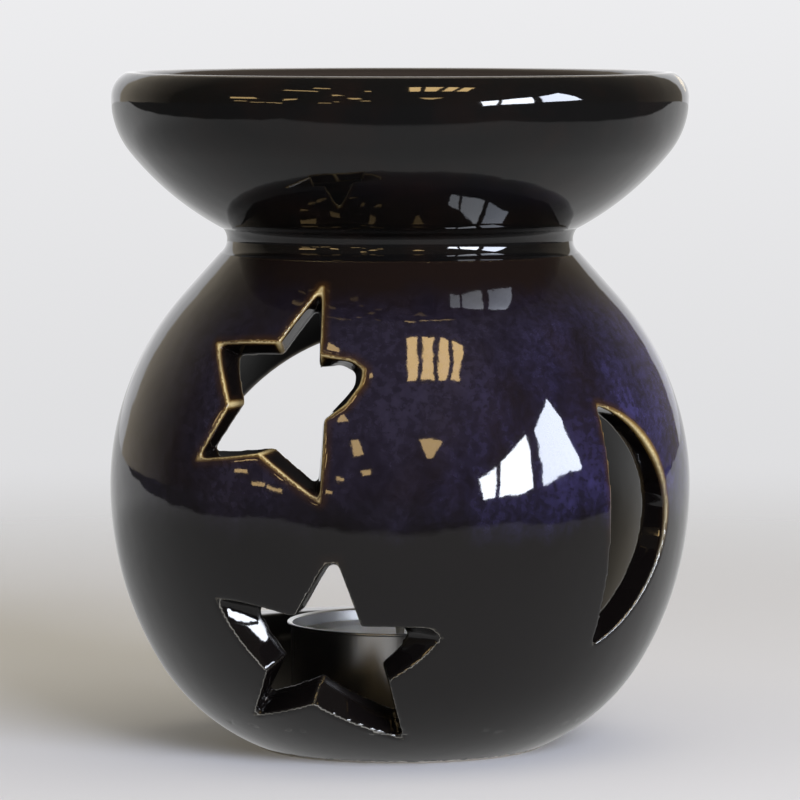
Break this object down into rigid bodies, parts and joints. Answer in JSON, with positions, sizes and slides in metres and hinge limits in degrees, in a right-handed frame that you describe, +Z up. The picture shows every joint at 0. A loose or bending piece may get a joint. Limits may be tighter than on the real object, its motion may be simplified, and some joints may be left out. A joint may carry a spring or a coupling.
{
  "type": "essential oil burner",
  "caption": "Round glazed stoneware oil burner: hollow globe with star and moon windows and an arched back opening, a shallow oil bowl on its neck and a lift-out tealight inside.",
  "frame": {"origin": "centre of the foot, on the table the burner stands on", "axes": "+Z up through the bowl, +Y towards the arched back opening, so the star and moon windows face -Y"},
  "size_m": [0.1004, 0.1, 0.1166],
  "materials": {
    "globe_glaze": "glossy black glaze with a cobalt shoulder, amber where it breaks over cut edges",
    "bowl_glaze": "glossy black-brown glaze",
    "seam_glaze": "glossy black-brown glaze",
    "cup_foil": "drawn foil, satin",
    "candle_wax": "white paraffin wax, waxy satin",
    "wick_cotton": "braided waxed cotton",
    "sustainer_tin": "tinplate"
  },
  "bodies": {
    "burner": {"globe": "globe_glaze", "bowl": "bowl_glaze", "neck_seam": "seam_glaze"},
    "tealight": {"tealight_cup": "cup_foil"},
    "candle": {"tealight_wax": "candle_wax", "tealight_wick": "wick_cotton", "wick_sustainer": "sustainer_tin"}
  },
  "joints": [
    {"name": "tealight_slide", "type": "slide", "parent": "burner", "child": "tealight", "axis": [0, 0.809, 0.5878], "range_m": [0, 0.095]},
    {"name": "candle_lift", "type": "slide", "parent": "tealight", "child": "candle", "axis": [0, 0, 1], "range_m": [0, 0.02]}
  ]
}
